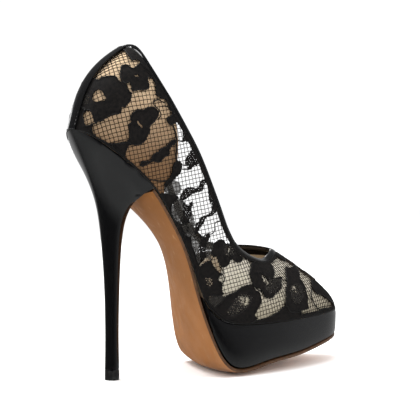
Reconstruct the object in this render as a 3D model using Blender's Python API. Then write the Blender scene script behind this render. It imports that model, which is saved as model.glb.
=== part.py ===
"""Right-foot platform pump on a stiletto heel, built over the sections of its last.

+X runs to the toe, +Y to the inner (medial) side and +Z up. Every table is in millimetres.
"""

import bmesh
import bpy
import numpy as np

# Driving dimensions, in millimetres.
MM = 0.001
GAP = 0.3                    # clearance between neighbouring pieces
WALL = 1.4                   # wall of the upper
SECTION_STEP = 5.4           # longest stretch between two sections of the mesh
WALL_SPANS = 8               # faces from the feather edge to the collar

BINDING_WIDTH = 3.0          # piping along the collar
BINDING_STAND = 0.6          # how far it stands proud of the wall on each side
STRIP_HALF_WIDTH = 4.6       # strip over the back seam
STRIP_THICKNESS = 0.8
STRIP_SPANS = (6, 14)        # faces across and along the strip

INSOLE_THICKNESS = 2.2
INSOLE_INSET = 2.8           # from the feather edge, clear of the wall
INSOLE_LIFT = 0.5            # off the feather line, clear of the sole where the arch twists
PLATFORM_LIP = 0.8           # cover of the platform outside the feather edge
PLATFORM_START = 1.8         # thickness where its wedge begins under the arch
SOLE_EDGE = 2.2              # thickness of the outsole at its edge
SOLE_CROWN = 3.6             # extra thickness of its middle
SOLE_SPANS = 6               # faces across the crowned bottom
SOLE_INSET = 1.3             # how far its edge is set in under the platform
SOLE_INSET_DROP = 12.0       # platform thickness at which it is set in in full
BREAST_GAP = 0.42            # clearance between the end of the outsole and the heel
TOP_LIFT = 6.0               # height of the piece under the heel
BREAST_SPANS = 6             # faces across the front of the heel

NORMAL_STEP = 0.001          # step over which the wall's slopes are measured
LENGTH_SAMPLES = 25          # points along the wall where its length is measured
SHARP_ANGLE = 40.0           # degrees between faces that meet in a hard edge

# Section of the piping: the rise over its width, and the place between its inner face at -1 and
# its outer face at 1.
BINDING_COLUMNS = ("rise", "side")
BINDING_SECTION = (
    (1.0, 0.0),
    (0.75, 0.82),
    (0.35, 1.0),
    (0.0, 0.92),
    (0.0, -0.92),
    (0.35, -1.0),
    (0.75, -0.82),
)

# One row per section of the last, from the heel to the toe. The feather edge is where the upper
# meets the sole. Sides are the outer (lat) and inner (med) side, widths are measured from the
# middle line, and the bulges push the wall outwards at one and two thirds of its height.
SECTION_COLUMNS = (
    "feather_x_lat", "feather_x_med", "feather_z", "feather_w_lat", "feather_w_med",
    "top_x_lat", "top_x_med", "top_z_lat", "top_z_med", "top_w_lat", "top_w_med",
    "bulge_low", "bulge_high",
)
SECTIONS = {
    "heel back":    (1.5, 1.5, 149.5, 0.0, 0.0, 41.5, 41.5, 202.0, 202.0, 0.0, 0.0, 7.0, 20.0),
    "heel corner":  (4.6, 4.6, 147.8, 10.5, 10.5, 42.0, 42.0, 199.8, 199.8, 9.6, 9.6, 7.5, 18.0),
    "heel side":    (12.5, 12.5, 141.2, 20.0, 19.8, 45.0, 45.0, 189.0, 189.5, 18.6, 18.3, 6.0, 11.0),
    "heel seat":    (27.0, 27.0, 129.6, 25.4, 24.8, 53.5, 54.5, 172.5, 173.5, 24.3, 23.5, 4.0, 4.5),
    "breast":       (43.0, 44.5, 115.4, 26.0, 24.5, 64.5, 67.0, 153.5, 155.0, 27.2, 26.0, 3.0, 3.0),
    "waist back":   (54.0, 62.0, 100.6, 25.2, 22.0, 74.0, 78.0, 137.5, 140.5, 28.2, 27.0, 2.2, 2.5),
    "waist middle": (64.5, 78.5, 81.8, 26.2, 21.5, 82.5, 88.0, 119.0, 124.0, 29.0, 28.0, 2.0, 3.0),
    "waist front":  (71.0, 88.5, 62.5, 28.6, 25.0, 89.5, 96.0, 102.0, 109.0, 29.8, 29.0, 2.5, 3.5),
    "arch foot":    (77.0, 97.0, 45.0, 32.2, 30.5, 95.5, 103.0, 88.5, 97.0, 29.8, 29.0, 3.0, 4.5),
    "ball back":    (87.0, 107.5, 35.0, 36.0, 35.5, 103.0, 111.0, 80.0, 87.5, 28.2, 28.0, 4.0, 6.0),
    "ball":         (103.0, 122.5, 32.0, 38.2, 38.2, 112.0, 119.5, 74.8, 79.8, 25.2, 26.0, 5.5, 8.0),
    "ball front":   (125.0, 141.0, 31.8, 38.0, 37.4, 122.5, 129.0, 71.5, 77.4, 20.4, 23.0, 7.0, 9.5),
    "toe back":     (148.0, 160.0, 32.2, 33.8, 32.8, 133.0, 138.5, 70.3, 77.4, 14.2, 18.8, 8.5, 9.5),
    "toe side":     (172.0, 178.0, 33.0, 26.8, 27.0, 142.5, 146.2, 72.4, 76.9, 8.0, 13.4, 10.0, 8.5),
    "toe corner":   (191.5, 193.2, 34.0, 17.2, 18.4, 149.4, 151.2, 74.4, 75.9, 1.8, 8.2, 12.0, 6.5),
    "toe":          (203.0, 203.0, 34.5, -0.8, 0.8, 152.6, 152.6, 75.0, 75.0, -3.2, 3.2, 13.0, 5.0),
}
BREAST = "breast"

# Upper face of the outsole where it leaves the feather edge and runs under the platform. Widths
# follow the section's own.
SOLE_COLUMNS = ("sole_x_lat", "sole_x_med", "sole_z")
SOLE_SECTIONS = {
    "waist front": (70.6, 88.1, 61.5),
    "arch foot":   (74.8, 94.5, 42.0),
    "ball back":   (80.5, 100.0, 24.0),
    "ball":        (92.5, 109.0, 6.4),
    "ball front":  (118.0, 131.0, 7.6),
    "toe back":    (146.5, 156.5, 10.6),
    "toe side":    (172.0, 177.5, 14.4),
    "toe corner":  (192.0, 194.0, 17.6),
    "toe":         (203.8, 203.8, 19.6),
}

# One row per ring of the heel, from under the seat down to the top lift: the ring's rear and front
# points, its half width, and how far its outline has gone from the seat's outline to an oval.
HEEL_COLUMNS = ("back_x", "back_z", "front_x", "front_z", "half_width", "roundness")
HEEL_RINGS = (
    (3.8, 144.0, 39.2, 110.4, 23.2, 0.05),
    (9.4, 132.4, 40.0, 107.6, 18.4, 0.25),
    (14.6, 121.0, 40.0, 104.6, 14.2, 0.55),
    (19.0, 109.0, 38.9, 100.2, 10.4, 0.80),
    (21.5, 96.0, 36.8, 93.6, 7.7, 1.00),
    (22.8, 82.0, 35.1, 81.6, 6.2, 1.00),
    (24.2, 66.0, 34.2, 66.0, 5.1, 1.00),
    (25.0, 46.0, 33.6, 46.0, 4.4, 1.00),
    (25.2, 25.0, 33.3, 25.0, 4.1, 1.00),
    (24.9, 6.3, 33.7, 6.3, 4.4, 1.00),
)

# Colour, roughness and metallic value of each finish.
FINISHES = {
    "lace": ((0.012, 0.011, 0.010), 0.70, 0.0),
    "patent": ((0.006, 0.006, 0.006), 0.12, 0.0),
    "sole_leather": ((0.33, 0.17, 0.075), 0.45, 0.0),
    "sock_leather": ((0.62, 0.47, 0.33), 0.55, 0.0),
    "hard_rubber": ((0.010, 0.010, 0.010), 0.45, 0.0),
}


def unit(vectors):
    """Vectors along the last axis, made one long."""
    return vectors / np.linalg.norm(vectors, axis=-1, keepdims=True)


def column(table, columns, name):
    """One named column of a table as an array."""
    return np.array([row[columns.index(name)] for row in table])


class RingSpline:
    """Smooth closed curve through control points, one for each knot."""

    def __init__(self, knots, points):
        self.knots = knots
        self.points = points
        count = len(points)
        spans = np.diff(knots)
        matrix = np.zeros((count, count))
        sides = np.zeros_like(points)
        for index in range(count):
            before = spans[index - 1]
            after = spans[index]
            ahead = (index + 1) % count
            matrix[index, index - 1] += before
            matrix[index, index] += 2.0 * (before + after)
            matrix[index, ahead] += after
            rise = (points[ahead] - points[index]) / after
            fall = (points[index] - points[index - 1]) / before
            sides[index] = 6.0 * (rise - fall)
        self.bends = np.linalg.solve(matrix, sides)

    def at(self, place):
        """Points at an array of places along the ring."""
        length = self.knots[-1]
        place = np.mod(place, length)
        index = np.clip(np.searchsorted(self.knots, place, side="right") - 1, 0, len(self.points) - 1)
        ahead = (index + 1) % len(self.points)
        span = (self.knots[index + 1] - self.knots[index])[..., None]
        after = (place - self.knots[index])[..., None]
        before = span - after
        cubic = (self.bends[index] * before ** 3 + self.bends[ahead] * after ** 3) / (6.0 * span)
        start = (self.points[index] / span - self.bends[index] * span / 6.0) * before
        end = (self.points[ahead] / span - self.bends[ahead] * span / 6.0) * after
        return cubic + start + end


def ring_points(x_lat, x_med, width_lat, width_med, height_lat, height_med):
    """Control points round the shoe: heel back, outer side, toe, inner side."""
    outer = np.column_stack((x_lat, -width_lat, height_lat))
    inner = np.column_stack((x_med, width_med, height_med))
    return np.vstack((outer, inner[-2:0:-1]))


def outward(ring):
    """Level direction away from the shoe at each point of a ring."""
    along = np.roll(ring, -1, axis=0) - np.roll(ring, 1, axis=0)
    away = np.column_stack((along[:, 1], -along[:, 0], np.zeros(len(ring))))
    return unit(away)


class Last:
    """The lasted form: wall surface, feather edge and the line of the sole under it."""

    def __init__(self):
        rows = list(SECTIONS.values())
        names = list(SECTIONS)
        part = {name: column(rows, SECTION_COLUMNS, name) for name in SECTION_COLUMNS}
        feather = ring_points(part["feather_x_lat"], part["feather_x_med"],
                              part["feather_w_lat"], part["feather_w_med"],
                              part["feather_z"], part["feather_z"])
        top = ring_points(part["top_x_lat"], part["top_x_med"], part["top_w_lat"],
                          part["top_w_med"], part["top_z_lat"], part["top_z_med"])
        away = outward(feather)
        mirror = np.r_[np.arange(len(rows)), np.arange(len(rows) - 2, 0, -1)]
        low = feather + (top - feather) / 3.0 + away * part["bulge_low"][mirror, None]
        high = feather + (top - feather) / 1.5 + away * part["bulge_high"][mirror, None]

        sole = feather.copy()
        for name, row in SOLE_SECTIONS.items():
            place = names.index(name)
            line = dict(zip(SOLE_COLUMNS, row))
            sole[place] = (line["sole_x_lat"], sole[place, 1], line["sole_z"])
            sole[-place] = (line["sole_x_med"], sole[-place, 1], line["sole_z"])
        toe = len(rows) - 1

        middle = 0.5 * (feather + top)
        lengths = np.linalg.norm(np.roll(middle, -1, axis=0) - middle, axis=1)
        lengths = 0.5 * (lengths + lengths[::-1])
        knots = np.r_[0.0, np.cumsum(lengths)]
        self.controls = [RingSpline(knots, points) for points in (feather, low, high, top)]

        reach = np.linalg.norm(np.roll(feather, -1, axis=0) - feather, axis=1)
        reach = np.maximum(reach, reach[::-1])
        spans = np.ceil(reach / SECTION_STEP).astype(int)
        stretches = [np.linspace(knots[i], knots[i + 1], spans[i], endpoint=False)
                     for i in range(len(spans))]
        self.places = np.concatenate(stretches)
        self.toe = int(spans[:toe].sum())
        self.breast = int(spans[:names.index(BREAST)].sum())
        self.feather = self.controls[0].at(self.places)
        self.sole = RingSpline(knots, sole).at(self.places)

    def wall(self, place, height):
        """Points of the wall's outer face: height is 0 at the feather edge, 1 at the collar."""
        feather, low, high, top = [control.at(place) for control in self.controls]
        rise = height[..., None]
        fall = 1.0 - rise
        return fall ** 3 * feather + 3 * fall ** 2 * rise * low + 3 * fall * rise ** 2 * high + rise ** 3 * top

    def offset_wall(self, place, height, distance):
        """Points a distance outside the wall's outer face."""
        step = NORMAL_STEP
        along = self.wall(place + step, height) - self.wall(place - step, height)
        up = self.wall(place, height + step) - self.wall(place, height - step)
        return self.wall(place, height) + unit(np.cross(along, up)) * distance

    def wall_length(self, place):
        """Length of the wall from the feather edge to the collar."""
        places, heights = np.meshgrid(place, np.linspace(0.0, 1.0, LENGTH_SAMPLES), indexing="ij")
        points = self.wall(places, heights)
        return np.linalg.norm(np.diff(points, axis=1), axis=2).sum(axis=1)

    def sides(self, ring):
        """Outer and inner points of a ring, paired from the heel to the toe."""
        outer = np.arange(self.toe + 1)
        return ring[outer], ring[-outer]


def down_normals(outer, inner):
    """Direction square to the sole, downwards, at each pair of points of a bottom line."""
    middle = 0.5 * (outer + inner)
    along = np.gradient(middle, axis=0)
    normals = np.column_stack((along[:, 2], np.zeros(len(along)), -along[:, 0]))
    return unit(normals)


def finish(name):
    """Material of a finish, made once."""
    if name in bpy.data.materials:
        return bpy.data.materials[name]
    color, roughness, metallic = FINISHES[name]
    material = bpy.data.materials.new(name)
    material.use_nodes = True
    shader = material.node_tree.nodes["Principled BSDF"]
    shader.inputs["Base Color"].default_value = (*color, 1.0)
    shader.inputs["Roughness"].default_value = roughness
    shader.inputs["Metallic"].default_value = metallic
    return material


def add_rings(name, rings, finish_name, closed_loft=False):
    """One object lofted through rings of points, its ends capped unless the loft is closed."""
    mesh = bpy.data.meshes.new(name)
    shape = bmesh.new()
    rows = [[shape.verts.new(point * MM) for point in ring] for ring in rings]
    size = len(rings[0])
    pairs = list(zip(rows, rows[1:]))
    if closed_loft:
        pairs.append((rows[-1], rows[0]))
    else:
        shape.faces.new(rows[0])
        shape.faces.new(rows[-1])
    for here, there in pairs:
        for index in range(size):
            ahead = (index + 1) % size
            shape.faces.new((here[index], here[ahead], there[ahead], there[index]))
    bmesh.ops.remove_doubles(shape, verts=shape.verts, dist=1e-6)
    bmesh.ops.dissolve_degenerate(shape, edges=shape.edges, dist=1e-6)
    bmesh.ops.triangulate(shape, faces=shape.faces)
    bmesh.ops.recalc_face_normals(shape, faces=shape.faces)
    shape.to_mesh(mesh)
    shape.free()
    mesh.shade_smooth()
    mesh.set_sharp_from_angle(angle=np.radians(SHARP_ANGLE))
    mesh.materials.append(finish(finish_name))
    piece = bpy.data.objects.new(name, mesh)
    bpy.context.collection.objects.link(piece)
    return piece


def make_upper(last):
    """Hollow wall, open at the collar and underneath; its last stretch is left to the binding."""
    lengths = last.wall_length(last.places)
    rings = []
    for place, length in zip(last.places, lengths):
        heights = np.linspace(0.0, 1.0 - (BINDING_WIDTH + GAP) / length, WALL_SPANS + 1)
        places = np.full(len(heights), place)
        outside = last.offset_wall(places, heights, 0.0)
        inside = last.offset_wall(places, heights, -WALL)
        rings.append(np.vstack((outside, inside[::-1])))
    return add_rings("upper", rings, "lace", closed_loft=True)


def make_binding(last):
    """Rounded piping that takes the place of the wall's top edge."""
    lengths = last.wall_length(last.places)
    rise = column(BINDING_SECTION, BINDING_COLUMNS, "rise")
    side = column(BINDING_SECTION, BINDING_COLUMNS, "side")
    away = side * (0.5 * WALL + BINDING_STAND) - 0.5 * WALL
    rings = []
    for place, length in zip(last.places, lengths):
        heights = 1.0 - (1.0 - rise) * BINDING_WIDTH / length
        rings.append(last.offset_wall(np.full(len(rise), place), heights, away[:, None]))
    return add_rings("topline_binding", rings, "patent", closed_loft=True)


def make_back_strip(last):
    """Strip laid over the back seam from the heel seat to the binding."""
    across, along = STRIP_SPANS
    length = last.wall_length(np.array([0.0]))[0]
    heights = np.linspace(0.0, 1.0 - (BINDING_WIDTH + GAP) / length, along + 1)
    step = 0.01
    rings = []
    for height in heights:
        level = np.full(2, height)
        pace = last.wall(np.array([-step, step]), level)
        speed = np.linalg.norm(pace[1] - pace[0]) / (2.0 * step)
        places = np.linspace(-STRIP_HALF_WIDTH, STRIP_HALF_WIDTH, across + 1) / speed
        level = np.full(len(places), height)
        outside = last.offset_wall(places, level, GAP + STRIP_THICKNESS)
        inside = last.offset_wall(places, level, GAP)
        rings.append(np.vstack((outside, inside[::-1])))
    return add_rings("back_strip", rings, "patent")


def make_insole(last):
    """Sock over the bottom of the last, just inside the wall."""
    down = down_normals(*last.sides(last.feather))
    ring_down = np.vstack((down, down[-2:0:-1]))
    along = np.roll(last.feather, -1, axis=0) - np.roll(last.feather, 1, axis=0)
    inward = unit(np.cross(along, ring_down))
    outer, inner = last.sides(last.feather + inward * INSOLE_INSET)
    high = INSOLE_LIFT + INSOLE_THICKNESS
    rings = [np.array((a - n * high, a - n * INSOLE_LIFT, b - n * INSOLE_LIFT, b - n * high))
             for a, b, n in zip(outer, inner, down)]
    return add_rings("insole", rings, "sock_leather")


def make_platform(last):
    """Covered filler between the feather edge and the outsole, from a wedge under the arch."""
    top_outer, top_inner = last.sides(last.feather + outward(last.feather) * PLATFORM_LIP)
    low_outer, low_inner = last.sides(last.sole)
    down = down_normals(*last.sides(last.feather))
    depth = np.linalg.norm(low_outer - top_outer, axis=1)
    start = int(np.argmax(depth > PLATFORM_START))
    rings = []
    for index in range(start, last.toe + 1):
        drop = down[index] * GAP
        rings.append(np.array((top_outer[index] + drop, low_outer[index],
                               low_inner[index], top_inner[index] + drop)))
    return add_rings("platform", rings, "patent")


def make_outsole(last):
    """Sole from the heel breast to the toe, thickest along its middle, flat where it stands."""
    outer, inner = last.sides(last.sole)
    down = down_normals(outer, inner)
    across = inner - outer
    widths = np.linalg.norm(across, axis=1)
    crowns = SOLE_CROWN * np.clip(widths / widths[last.breast], 0.0, 1.0)
    drops = np.linalg.norm(outer - last.sides(last.feather)[0], axis=1)
    insets = SOLE_INSET * np.clip(drops / SOLE_INSET_DROP, 0.0, 1.0)
    shares = np.linspace(0.0, 1.0, SOLE_SPANS + 1)
    ahead = unit(outer[last.breast + 1] - outer[last.breast]) * BREAST_GAP
    rings = []
    for index in range(last.breast, last.toe):
        shift = ahead if index == last.breast else 0.0
        inset = across[index] * insets[index] / widths[index]
        a = outer[index] + inset + shift
        b = inner[index] - inset + shift
        ring = [a + down[index] * GAP]
        for share in shares:
            depth = GAP + SOLE_EDGE + crowns[index] * 4.0 * share * (1.0 - share)
            point = a + (b - a) * share + down[index] * depth
            point[2] = max(point[2], 0.0)
            ring.append(point)
        ring.append(b + down[index] * GAP)
        rings.append(np.array(ring))
    return add_rings("outsole", rings, "sole_leather")


def heel_outline(last):
    """Seat's outline from the middle of the breast round the back, with its place on the ring."""
    outer, inner = last.sides(last.feather)
    down = down_normals(outer, inner)
    outer = (outer + down * GAP)[:last.breast + 1]
    inner = (inner + down * GAP)[:last.breast + 1]
    shares = np.linspace(0.0, 1.0, BREAST_SPANS + 1)[1:-1, None]
    front = outer[-1] + (inner[-1] - outer[-1]) * shares
    rim = np.vstack((outer, front, inner[:0:-1]))
    steps = np.linalg.norm(np.roll(rim, -1, axis=0) - rim, axis=1)
    turn = 2.0 * np.pi * np.r_[0.0, np.cumsum(steps)[:-1]] / steps.sum()
    width = np.abs(rim[:, 1]).max()
    seat = np.column_stack((2.0 * rim[:, 0] / rim[:, 0].max() - 1.0, rim[:, 1] / width))
    oval = np.column_stack((-np.cos(turn), -np.sin(turn)))
    return rim, seat, oval


def heel_ring(row, seat, oval):
    """One ring of the heel from its row of the table."""
    ring = dict(zip(HEEL_COLUMNS, row))
    shape = seat + (oval - seat) * ring["roundness"]
    share = 0.5 * (shape[:, 0] + 1.0)
    return np.column_stack((ring["back_x"] + (ring["front_x"] - ring["back_x"]) * share,
                            ring["half_width"] * shape[:, 1],
                            ring["back_z"] + (ring["front_z"] - ring["back_z"]) * share))


def make_heel(last):
    """Stiletto that flares up to the seat behind the arch."""
    rim, seat, oval = heel_outline(last)
    rings = [rim] + [heel_ring(row, seat, oval) for row in HEEL_RINGS]
    return add_rings("heel", rings, "patent")


def make_top_lift(last):
    """Hard piece under the heel, with the heel's own outline."""
    seat, oval = heel_outline(last)[1:]
    foot = heel_ring(HEEL_RINGS[-1], seat, oval)
    upper = foot.copy()
    upper[:, 2] = TOP_LIFT
    lower = foot.copy()
    lower[:, 2] = 0.0
    return add_rings("top_lift", [upper, lower], "hard_rubber")


def centre(pieces):
    """Put the origin under the middle of the whole shoe."""
    corners = np.array([vertex.co for piece in pieces for vertex in piece.data.vertices])
    middle = 0.5 * (corners.min(axis=0) + corners.max(axis=0))
    for piece in pieces:
        for vertex in piece.data.vertices:
            vertex.co.x -= middle[0]
            vertex.co.y -= middle[1]


def main():
    for old in list(bpy.data.objects):
        bpy.data.objects.remove(old, do_unlink=True)
    last = Last()
    makers = (make_upper, make_binding, make_back_strip, make_insole, make_platform,
              make_outsole, make_heel, make_top_lift)
    centre([make(last) for make in makers])


main()
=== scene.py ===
import math
import bpy
import numpy as np
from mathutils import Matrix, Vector, geometry
from mathutils.bvhtree import BVHTree


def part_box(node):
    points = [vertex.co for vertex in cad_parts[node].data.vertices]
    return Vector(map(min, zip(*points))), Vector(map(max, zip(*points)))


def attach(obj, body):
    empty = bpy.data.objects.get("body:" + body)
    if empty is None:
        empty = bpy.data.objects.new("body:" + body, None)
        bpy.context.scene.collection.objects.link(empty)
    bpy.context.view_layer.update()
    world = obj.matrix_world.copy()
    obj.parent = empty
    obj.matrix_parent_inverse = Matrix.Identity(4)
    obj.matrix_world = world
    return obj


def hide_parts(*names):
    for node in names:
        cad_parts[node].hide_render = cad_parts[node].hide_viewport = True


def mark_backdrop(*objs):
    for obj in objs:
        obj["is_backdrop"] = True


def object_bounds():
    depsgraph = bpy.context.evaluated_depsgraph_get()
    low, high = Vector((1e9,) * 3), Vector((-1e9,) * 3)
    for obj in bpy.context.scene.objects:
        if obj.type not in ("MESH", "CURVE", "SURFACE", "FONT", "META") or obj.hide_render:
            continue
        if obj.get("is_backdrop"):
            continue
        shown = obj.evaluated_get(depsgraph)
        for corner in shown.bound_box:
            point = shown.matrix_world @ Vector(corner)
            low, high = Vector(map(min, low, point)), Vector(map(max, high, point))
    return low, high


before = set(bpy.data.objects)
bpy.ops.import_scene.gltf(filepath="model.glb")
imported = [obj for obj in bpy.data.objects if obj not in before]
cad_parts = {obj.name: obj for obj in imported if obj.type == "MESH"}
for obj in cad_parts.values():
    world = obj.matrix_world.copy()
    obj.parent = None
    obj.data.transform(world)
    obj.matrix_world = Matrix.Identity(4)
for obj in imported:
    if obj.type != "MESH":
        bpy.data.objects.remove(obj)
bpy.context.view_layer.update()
mm = 0.001


# small helpers
def deselect():
    bpy.ops.object.select_all(action="DESELECT")


def only(piece):
    deselect()
    piece.select_set(True)
    bpy.context.view_layer.objects.active = piece
    return piece


def edit(piece, kind="FACE", every=True):
    only(piece)
    bpy.ops.object.mode_set(mode="EDIT")
    bpy.ops.mesh.select_mode(type=kind)
    if every:
        bpy.ops.mesh.select_all(action="SELECT")


def leave():
    bpy.ops.object.mode_set(mode="OBJECT")


def modifier(piece, kind, **values):
    only(piece)
    made = piece.modifiers.new(kind.title(), kind)
    for key, value in values.items():
        setattr(made, key, value)
    bpy.ops.object.modifier_apply(modifier=made.name)


def rounded(piece):
    only(piece)
    bpy.ops.object.shade_smooth()
    return piece


def linked(name, data):
    piece = bpy.data.objects.new(name, data)
    bpy.context.collection.objects.link(piece)
    return piece


def mount(piece, name, finish, nodes):
    piece.name = name
    piece.data.name = name
    if finish is not None:
        piece.data.materials.clear()
        piece.data.materials.append(finish)
    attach(piece, "root")
    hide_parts(*nodes)
    print(name, len(piece.data.polygons), "faces")


# a joined-up copy of a CAD node, its triangles back to quads
smoothing = {"weld": 0.01, "flat": 60, "square": 90, "even": 2.0, "sharp": 45, "crease": 0.8, "levels": 2}


def copyOf(node, name):
    piece = linked(name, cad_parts[node].data.copy())
    piece.data.materials.clear()
    edit(piece)
    bpy.ops.mesh.remove_doubles(threshold=smoothing["weld"] * mm)
    bpy.ops.mesh.customdata_custom_splitnormals_clear()
    bpy.ops.mesh.mark_sharp(clear=True)
    bpy.ops.mesh.tris_convert_to_quads(face_threshold=math.radians(smoothing["flat"]),
                                       shape_threshold=math.radians(smoothing["square"]),
                                       topology_influence=smoothing["even"])
    leave()
    return piece


# a copy smoothed to the real form, with its sharp edges held
def smoothCopy(node, name, shade=50):
    piece = copyOf(node, name)
    edit(piece, "EDGE")
    bpy.ops.mesh.select_all(action="DESELECT")
    bpy.ops.mesh.edges_select_sharp(sharpness=math.radians(smoothing["sharp"]))
    bpy.ops.transform.edge_crease(value=smoothing["crease"])
    leave()
    modifier(piece, "SUBSURF", levels=smoothing["levels"], render_levels=smoothing["levels"])
    only(piece)
    bpy.ops.object.shade_smooth_by_angle(angle=math.radians(shade))
    return piece


# finishes: shared effects are node groups, and each material sets its own values on them
def add(tree, kind, feeds=None, **settings):
    made = tree.nodes.new(kind if kind.startswith("NodeGroup") else "ShaderNode" + kind)
    for key, value in settings.items():
        setattr(made, key, value)
    for key, value in (feeds or {}).items():
        if isinstance(value, bpy.types.NodeSocket):
            tree.links.new(value, made.inputs[key])
        else:
            made.inputs[key].default_value = value
    return made


def newEffect(name, takes, gives):
    tree = bpy.data.node_groups.new(name, "ShaderNodeTree")
    for label in takes:
        kind = "NodeSocketVector" if label == "Place" else "NodeSocketFloat"
        tree.interface.new_socket(label, in_out="INPUT", socket_type=kind)
    for label in gives:
        tree.interface.new_socket(label, in_out="OUTPUT", socket_type="NodeSocketFloat")
    return tree, add(tree, "NodeGroupInput").outputs, add(tree, "NodeGroupOutput").inputs


# pebbled skin: rounded cells with pores between them
leatherGrain, takes, gives = newEffect("leatherGrain", ["Place", "Scale"], ["Height", "Pores"])
where = {"Vector": takes["Place"], "Scale": takes["Scale"]}
cells = add(leatherGrain, "TexVoronoi", where, feature="DISTANCE_TO_EDGE")
pores = add(leatherGrain, "MapRange", {"Value": cells.outputs["Distance"], "From Max": 0.25},
            interpolation_type="SMOOTHSTEP")
fine = add(leatherGrain, "TexNoise", {**where, "Detail": 4.0})
both = add(leatherGrain, "Math", {0: pores.outputs["Result"], 1: fine.outputs["Fac"]}, operation="MULTIPLY")
leatherGrain.links.new(both.outputs["Value"], gives["Height"])
leatherGrain.links.new(pores.outputs["Result"], gives["Pores"])

# broad uneven patches, as handling and polish leave them
patches, takes, gives = newEffect("patches", ["Place", "Scale", "Low", "High"], ["Value"])
cloud = add(patches, "TexNoise", {"Vector": takes["Place"], "Scale": takes["Scale"], "Detail": 5.0,
                                  "Distortion": 0.4})
spread = add(patches, "MapRange", {"Value": cloud.outputs["Fac"], "From Min": 0.3, "From Max": 0.7,
                                   "To Min": takes["Low"], "To Max": takes["High"]})
patches.links.new(spread.outputs["Result"], gives["Value"])

# short scratches that run along the piece's length
scuffs, takes, gives = newEffect("scuffs", ["Place", "Scale", "Cover"], ["Mask"])
pulled = add(scuffs, "Mapping", {"Vector": takes["Place"], "Scale": (0.12, 1.0, 0.35)})
streaks = add(scuffs, "TexNoise", {"Vector": pulled.outputs["Vector"], "Scale": takes["Scale"],
                                   "Detail": 3.0})
edge = add(scuffs, "Math", {0: 0.8, 1: takes["Cover"]}, operation="SUBTRACT")
cut = add(scuffs, "MapRange", {"Value": streaks.outputs["Fac"], "From Min": edge.outputs["Value"],
                               "From Max": 0.85})
scuffs.links.new(cut.outputs["Result"], gives["Mask"])

# plain weave: two sets of threads that pass over each other
weave, takes, gives = newEffect("weave", ["Place", "Threads"], ["Height"])
feeds = {"Vector": takes["Place"], "Scale": takes["Threads"], "Distortion": 0.6, "Detail": 1.0}
warp, weft = (add(weave, "TexWave", feeds, bands_direction=way) for way in ("X", "Y"))
upper = add(weave, "Math", {0: warp.outputs["Fac"], 1: weft.outputs["Fac"]}, operation="MAXIMUM")
weave.links.new(upper.outputs["Value"], gives["Height"])


def newFinish(name, color, roughness, gloss=0.5):
    made = bpy.data.materials.new(name)
    made.use_nodes = True
    inputs = made.node_tree.nodes["Principled BSDF"].inputs
    inputs["Base Color"].default_value = (*color, 1)
    inputs["Roughness"].default_value = roughness
    inputs["Specular IOR Level"].default_value = gloss
    return made, made.node_tree


def paint(tree, color=None, roughness=None, alpha=None, normal=None):
    inputs = tree.nodes["Principled BSDF"].inputs
    sources = {"Base Color": color, "Roughness": roughness, "Alpha": alpha, "Normal": normal}
    for key, source in sources.items():
        if source is not None:
            tree.links.new(source, inputs[key])


def effect(tree, group, on="Object", **feeds):
    feeds["Place"] = add(tree, "TexCoord").outputs[on]
    return add(tree, "Group", feeds, node_tree=group).outputs


def patchy(tree, scale, low=0.0, high=1.0, on="Object"):
    return effect(tree, patches, on, Scale=scale, Low=low, High=high)["Value"]


# two colours mixed by a mask that changes over the surface
def blend(tree, mask, *tones):
    first, second = (tone if isinstance(tone, bpy.types.NodeSocket) else (*tone, 1) for tone in tones)
    return add(tree, "Mix", {"Factor": mask, "A": first, "B": second}, data_type="RGBA").outputs["Result"]


def bump(tree, height, strength, depth):
    made = add(tree, "Bump", {"Height": height, "Strength": strength, "Distance": depth * mm})
    paint(tree, normal=made.outputs["Normal"])


# how far up the shoe a spot is, from 0 to 1 between two heights
def upShoe(tree, low, high):
    split = add(tree, "SeparateXYZ", {"Vector": add(tree, "TexCoord").outputs["Object"]})
    return add(tree, "MapRange", {"Value": split.outputs["Z"], "From Min": low * mm, "From Max": high * mm},
               interpolation_type="SMOOTHSTEP").outputs["Result"]


patent, tree = newFinish("patent", (0.003, 0.003, 0.0033), 0.06)
paint(tree, roughness=patchy(tree, 60.0, 0.03, 0.11))
place = add(tree, "TexCoord").outputs["Object"]
peel = add(tree, "TexNoise", {"Vector": place, "Scale": 220.0, "Detail": 2.0})
bump(tree, peel.outputs["Fac"], 0.12, 0.05)

soleLeather, tree = newFinish("soleLeather", (0.3, 0.135, 0.056), 0.5, gloss=0.06)
# the sole darkens from its tread towards the top of the arch: painted shade under the shoe
tone = blend(tree, upShoe(tree, 10, 150), (0.33, 0.143, 0.05), (0.135, 0.053, 0.014))
tone = blend(tree, patchy(tree, 45.0, high=0.55), tone, (0.22, 0.09, 0.026))
tone = blend(tree, effect(tree, scuffs, Scale=420.0, Cover=0.16)["Mask"], tone, (0.42, 0.24, 0.125))
paint(tree, tone, patchy(tree, 120.0, 0.4, 0.68))
bump(tree, effect(tree, leatherGrain, Scale=1500.0)["Height"], 0.25, 0.06)

# stained edge, dark enough to be painted shade for the shadow under the platform too
soleEdge, tree = newFinish("soleEdge", (0.09, 0.042, 0.019), 0.4, gloss=0.3)
paint(tree, blend(tree, patchy(tree, 260.0), (0.1, 0.046, 0.02), (0.045, 0.022, 0.011)))
bump(tree, effect(tree, scuffs, Scale=900.0, Cover=0.35)["Mask"], 0.3, 0.05)

sockLeather, tree = newFinish("sockLeather", (0.6, 0.45, 0.31), 0.55, gloss=0.3)
grain = effect(tree, leatherGrain, Scale=1300.0)
worn = blend(tree, patchy(tree, 32.0, high=0.8), (0.62, 0.47, 0.33), (0.5, 0.36, 0.24))
paint(tree, blend(tree, grain["Pores"], (0.42, 0.3, 0.2), worn))
bump(tree, grain["Height"], 0.35, 0.08)

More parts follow.
